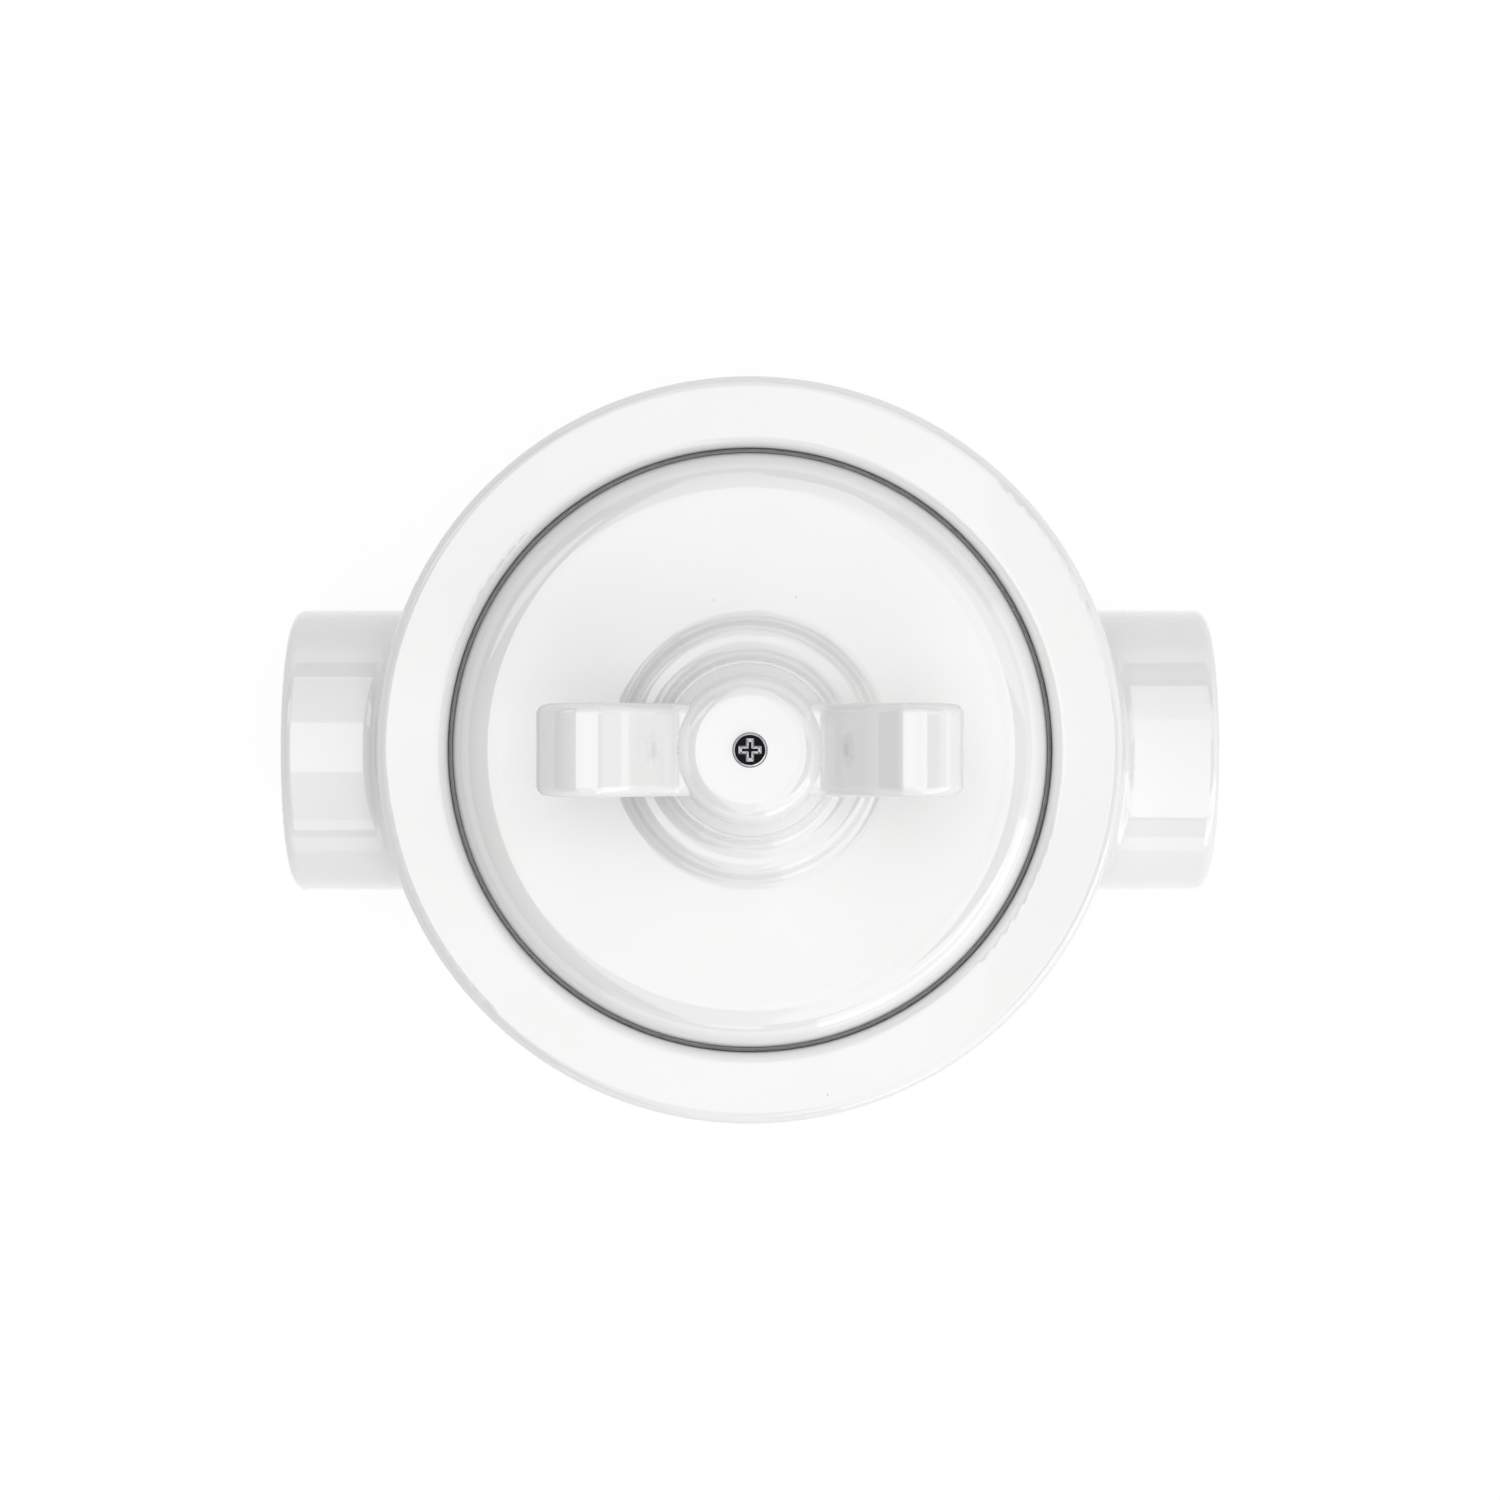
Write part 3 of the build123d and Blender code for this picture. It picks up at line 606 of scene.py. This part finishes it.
# %% Matt finishes
def matt_finish(name, colour, second, speck, worn, gloss, speck_scale, speck_size, grain, depth):
    material, tree = new_material(name)
    shader = tree.nodes["Principled BSDF"]
    drift = place(tree, colour_drift, {
        "Colour": (*colour, 1), "Second Colour": (*second, 1), "Scale": 160.0, "Share": 0.8,
    })
    dots = place(tree, specks, {
        "Speck Colour": (*speck, 1), "Scale": speck_scale, "Size": speck_size,
    })
    rubbed = place(tree, edge_wear, {"Worn Colour": (*worn, 1), "Scale": 700.0, "Amount": 0.6})
    marks = place(tree, tool_marks, {
        "Stretch": grain, "Scale": 700.0, "Smooth": gloss[0], "Rough": gloss[1],
    })
    bump = add_node(tree, "ShaderNodeBump", {"Strength": 1.0, "Distance": depth})
    join(
        tree,
        drift.outputs["Colour"], dots.inputs["Colour"],
        dots.outputs["Colour"], rubbed.inputs["Colour"],
        rubbed.outputs["Colour"], shader.inputs["Base Color"],
        marks.outputs["Roughness"], shader.inputs["Roughness"],
        marks.outputs["Height"], bump.inputs["Height"],
        bump.outputs[0], shader.inputs["Normal"],
    )
    return material


even, fibrous = (1.0, 1.0, 1.0), (1.0, 6.0, 1.0)
finishes["steatite"] = matt_finish(
    "steatite", (0.78, 0.75, 0.68), (0.72, 0.68, 0.6), (0.5, 0.44, 0.36), (0.84, 0.82, 0.77),
    gloss=(0.6, 0.8), speck_scale=420.0, speck_size=0.09, grain=even, depth=0.00001,
)
finishes["brown_phenolic"] = matt_finish(
    "brown_phenolic", (0.12, 0.05, 0.024), (0.2, 0.09, 0.04), (0.32, 0.17, 0.08), (0.3, 0.2, 0.13),
    gloss=(0.28, 0.45), speck_scale=600.0, speck_size=0.16, grain=even, depth=0.000006,
)
finishes["black_rubber"] = matt_finish(
    "black_rubber", (0.03, 0.03, 0.031), (0.05, 0.05, 0.05), (0.12, 0.12, 0.12), (0.09, 0.09, 0.09),
    gloss=(0.55, 0.75), speck_scale=500.0, speck_size=0.08, grain=even, depth=0.000008,
)
finishes["red_fibre"] = matt_finish(
    "red_fibre", (0.38, 0.08, 0.05), (0.28, 0.05, 0.03), (0.55, 0.2, 0.13), (0.55, 0.3, 0.22),
    gloss=(0.6, 0.85), speck_scale=520.0, speck_size=0.2, grain=fibrous, depth=0.000012,
)
print("matt finishes:", list(finishes)[8:])

# %% [markdown]
# Each CAD node keeps its mesh and only takes its finish. The record names the
# material slot of every node, so one loop dresses them all.

# %% Put the finishes on the nodes
slots = {part["node"]: part["material_slot"] for part in frame["record"]["subparts"]}
for name, piece in frame["nodes"].items():
    for slot in piece.material_slots:
        slot.material = finishes[slots[name]]
print("dressed", len(slots), "nodes")

# %% [markdown]
# In the solids the screws' threads are plain cylinders. A real thread is a
# groove that climbs one pitch a turn. It can be drawn as a tube whose radius
# swings with the height and the turn together. The swing fades out at both
# ends, so the tube meets the head, and a tip gets its chamfer.


# %% A threaded wall
def threaded_wall(work, place, radius, depth, pitch, foot, top, around=28, rows=7, tip=True):
    """Add a tube with a climbing groove to the mesh in work, closed at its foot if it has a tip."""
    count = max(4, round(rows * (top - foot) / pitch))
    rings = []
    for row in range(count + 1):
        height = foot + (top - foot) * row / count
        ring = []
        for step in range(around):
            turn = step / around
            swing = 0.5 - 0.5 * math.cos(2 * math.pi * (height / pitch - turn))
            groove = min(1.0, max(0.0, 1.35 * swing - 0.2))  # flattens crest and root
            ends = min(1.0, (top - height) / pitch, (height - foot) / pitch)
            cut = depth * groove * max(0.0, ends)
            if tip:
                cut = max(cut, depth - (height - foot))
            angle = 2 * math.pi * turn
            reach = radius - cut
            spot = (place[0] + reach * math.cos(angle), place[1] + reach * math.sin(angle), height)
            ring.append(work.verts.new(spot))
        rings.append(ring)
    for low, high in zip(rings, rings[1:]):
        for step in range(around):
            after = (step + 1) % around
            work.faces.new((low[step], low[after], high[after], high[step])).smooth = True
    if tip:
        work.faces.new(rings[0][::-1])


print("thread helper ready")

# %% [markdown]
# The finer screws keep the heads of the solids. A copy of the node's mesh loses
# the plain wall of its shank, and the threaded wall takes its place. The copy
# then replaces the node and rides on the same body. Where the shanks stand is
# read from the node's box, less the radius of the heads.


# %% Screws with threads
def rethread(node, body, places, radius, depth, pitch, foot, top, slot, tip=True, around=28):
    """Replace a node by its own mesh with the plain wall between foot and top made a thread."""
    work = bmesh.new()
    work.from_mesh(frame["nodes"][node].data)
    hair = 0.00002  # more than the mesh's rounding, less than any step in a screw
    doomed = []
    for face in work.faces:
        for place in places:
            spots = [v.co for v in face.verts]
            reach = [math.hypot(p.x - place[0], p.y - place[1]) for p in spots]
            on_wall = all(foot - hair < p.z < top + hair for p in spots)
            low = min(p.z for p in spots) < top - hair
            near = max(reach) < radius + hair and (tip or min(reach) > radius - hair)
            if on_wall and low and near:
                doomed.append(face)
    bmesh.ops.delete(work, geom=doomed, context="FACES")
    for place in places:
        threaded_wall(work, place, radius, depth, pitch, foot, top, around=around, tip=tip)
    mesh = bpy.data.meshes.new("threaded_" + node)
    work.to_mesh(mesh)
    work.free()
    piece = add_object("threaded_" + node, mesh)
    mesh.materials.clear()
    mesh.materials.append(finishes[slot])
    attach(piece, body)
    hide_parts(node)
    print(piece.name, "faces", len(mesh.polygons), "walls replaced", len(doomed))


head_radius, head_height = 0.0035, 0.0024
low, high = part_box("bridge_screws")
pillar = high[1] - head_radius
rethread(
    "bridge_screws", "housing", [(0, pillar), (0, -pillar)],
    radius=0.00195, depth=0.0003, pitch=0.0007,
    foot=low[2], top=high[2] - head_height, slot="zinc_steel",
)
head_radius, head_height = 0.00275, 0.002
low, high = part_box("block_screws")
across = high[0] - head_radius
rethread(
    "block_screws", "housing", [(across, 0), (-across, 0)],
    radius=0.00145, depth=0.00025, pitch=0.0005,
    foot=low[2], top=high[2] - head_height, slot="zinc_steel", around=20,
)
head_radius, head_height = 0.0026, 0.0018
low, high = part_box("terminal_screws")
across, along = high[0] - head_radius, high[1] - head_radius
rethread(
    "terminal_screws", "housing", [(i * across, j * along) for i in (1, -1) for j in (1, -1)],
    radius=0.0017, depth=0.00026, pitch=0.0006,
    foot=low[2], top=high[2] - head_height, slot="zinc_steel", around=24,
)

# %% [markdown]
# The bush is a hollow rod, so its thread has no tip. It starts at the underside
# of the strap that holds the bush, and ends below the chamfer of the bush's top.

# %% Bush with its thread
bush_chamfer = 0.0005
strap_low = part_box("mechanism_bridge")[0]
bush_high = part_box("threaded_bush")[1]
rethread(
    "threaded_bush", "housing", [(0, 0)],
    radius=0.005, depth=0.00045, pitch=0.001,
    foot=strap_low[2], top=bush_high[2] - bush_chamfer, slot="nickel_brass", tip=False, around=56,
)

# %% [markdown]
# The knob's screw is the only metal that shows from outside. Its head is a low
# dome with a rounded rim and a cross recess with sloping walls. A turned profile
# gives the dome: out along its foot, up the side, round the rim and over the
# crown. The fine cells used further down need larger numbers than metres give,
# so this piece is built in millimetres and shrunk at the end.


# %% Screw head in millimetres
def revolve(profile, around=96):
    """Closed mesh turned about Z from points (radius, height) that start and end on the axis."""
    work = bmesh.new()
    foot = work.verts.new((0, 0, profile[0][1]))
    crest = work.verts.new((0, 0, profile[-1][1]))
    rings = []
    for radius, height in profile[1:-1]:
        ring = []
        for step in range(around):
            turn = 2 * math.pi * step / around
            spot = (radius * math.cos(turn), radius * math.sin(turn), height)
            ring.append(work.verts.new(spot))
        rings.append(ring)
    for i in range(around):
        after = (i + 1) % around
        work.faces.new((foot, rings[0][after], rings[0][i]))
        for low, high in zip(rings, rings[1:]):
            work.faces.new((low[i], low[after], high[after], high[i]))
        work.faces.new((rings[-1][i], rings[-1][after], crest))
    bmesh.ops.recalc_face_normals(work, faces=work.faces)
    return work


def new_piece(name, work):
    mesh = bpy.data.meshes.new(name)
    work.to_mesh(mesh)
    work.free()
    return add_object(name, mesh)


dome_radius, dome_height, dome_crown = 1.78, 1.1, 0.09
rim_radius, rim_turn, curve_steps = 0.3, math.radians(78), 8

rim_start = dome_height - dome_crown - rim_radius
profile = [(0, 0), (dome_radius, 0), (dome_radius, rim_start)]
for step in range(1, curve_steps + 1):
    turn = rim_turn * step / curve_steps
    out = dome_radius - rim_radius + rim_radius * math.cos(turn)
    profile.append((out, rim_start + rim_radius * math.sin(turn)))
edge_radius, edge_height = profile[-1]
for step in range(1, curve_steps + 1):
    share = 1 - step / curve_steps
    rise = (dome_height - edge_height) * (1 - share**2)
    profile.append((edge_radius * share, edge_height + rise))
head = new_piece("screw_head", revolve(profile))
print("head profile points", len(profile))

# %% [markdown]
# The cutter is two crossed bars. Each bar is wide and long at the top and
# narrower and shorter at its foot, so the recess has sloping walls.

# %% Cutter for the cross recess
sections = (  # height, half length and half width of a bar
    (dome_height + 0.3, 1.32, 0.42),
    (dome_height - 0.08, 1.22, 0.4),
    (dome_height - 0.5, 0.86, 0.16),
)
work = bmesh.new()
for bar in (0, 90):
    levels = []
    for height, arm, half in sections:
        corners = [(arm, half), (-arm, half), (-arm, -half), (arm, -half)]
        turn = Matrix.Rotation(math.radians(bar), 4, "Z")
        levels.append([work.verts.new(turn @ Vector((x, y, height))) for x, y in corners])
    work.faces.new(levels[0])
    work.faces.new(levels[-1][::-1])
    for upper, lower in zip(levels, levels[1:]):
        for i in range(4):
            work.faces.new((upper[i], lower[i], lower[(i + 1) % 4], upper[(i + 1) % 4]))
bmesh.ops.recalc_face_normals(work, faces=work.faces)
cross = new_piece("cross_cutter", work)
print("cutter faces", len(cross.data.polygons))

# %% [markdown]
# A Boolean modifier cuts the cross. Then the mesh is remade with small even
# cells and smoothed, which rounds all edges as plating does. The result of the
# modifiers is kept as a mesh, and both helpers are deleted.

# %% Recess cut and edges rounded
cell = 0.03
cut = head.modifiers.new("cross", "BOOLEAN")
cut.operation, cut.object, cut.solver, cut.use_self = "DIFFERENCE", cross, "EXACT", True
even_cells = head.modifiers.new("even cells", "REMESH")
even_cells.mode, even_cells.voxel_size = "VOXEL", cell
rounded = head.modifiers.new("rounded", "SMOOTH")
rounded.factor, rounded.iterations = 0.5, 8
graph = bpy.context.evaluated_depsgraph_get()
finer = bpy.data.meshes.new_from_object(head.evaluated_get(graph))
print("head faces", len(finer.polygons))
bpy.data.objects.remove(head)
bpy.data.objects.remove(cross)

# %% [markdown]
# Head and thread now become one mesh, shrunk to metres and set where the solid
# screw is. It turns with the knob.

# %% Knob screw in place
low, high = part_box("knob_screw")
seat = high[2] - dome_height / 1000
work = bmesh.new()
work.from_mesh(finer)
for vertex in work.verts:
    vertex.co = Vector((vertex.co.x / 1000, vertex.co.y / 1000, seat + vertex.co.z / 1000))
for face in work.faces:
    face.smooth = True
threaded_wall(
    work, (0, 0), radius=0.00097, depth=0.0002, pitch=0.0004, foot=low[2], top=seat, around=24,
)
fine_screw = new_piece("cross_screw", work)
fine_screw.data.materials.append(finishes["bright_chrome"])
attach(fine_screw, "turning_assembly")
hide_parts("knob_screw")
print("cross_screw", tuple(round(1000 * d, 2) for d in fine_screw.dimensions), "mm")
